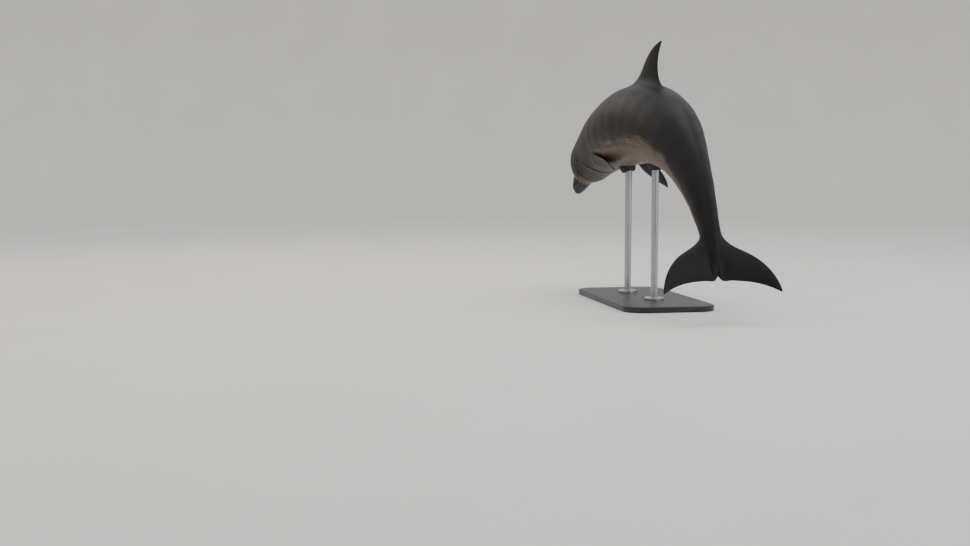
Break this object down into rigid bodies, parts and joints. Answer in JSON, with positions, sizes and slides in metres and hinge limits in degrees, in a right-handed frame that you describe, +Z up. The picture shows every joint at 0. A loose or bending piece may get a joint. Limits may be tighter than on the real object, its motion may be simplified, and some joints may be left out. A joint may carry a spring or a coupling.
{
  "type": "bottlenose dolphin model",
  "caption": "Life-size bottlenose dolphin arched at the top of a leap, tail hanging and head bent down, held over a flat base by short rods.",
  "frame": {"origin": "on the floor, under the middle of the whole model's bounding box, at the underside of the stand's base", "axes": "+X the way the trunk heads, +Y to the animal's left, +Z up"},
  "size_m": [2.1598, 0.6196, 1.4625],
  "materials": {
    "skin_back": "wet dark grey skin",
    "skin_belly": "wet pale pinkish grey skin",
    "eye": "glossy dark brown",
    "stand_base": "satin black lacquer",
    "stand_steel": "brushed",
    "stand_pad": "matte black rubber"
  },
  "bodies": {
    "root": {"upper_beak": "skin_back", "lower_jaw": "skin_belly", "head": "skin_back", "chest": "skin_back", "trunk": "skin_back", "tail_stock_front": "skin_back", "tail_stock_rear": "skin_back", "dorsal_fin": "skin_back", "fluke_left": "skin_back", "fluke_right": "skin_back", "flipper_left": "skin_back", "flipper_right": "skin_back", "eye_left": "eye", "eye_right": "eye", "stand_base": "stand_base", "stand_rod_front": "stand_steel", "stand_rod_rear": "stand_steel", "stand_pad_front": "stand_pad", "stand_pad_rear": "stand_pad", "stand_collar_front": "stand_steel", "stand_collar_rear": "stand_steel"}
  },
  "joints": []
}
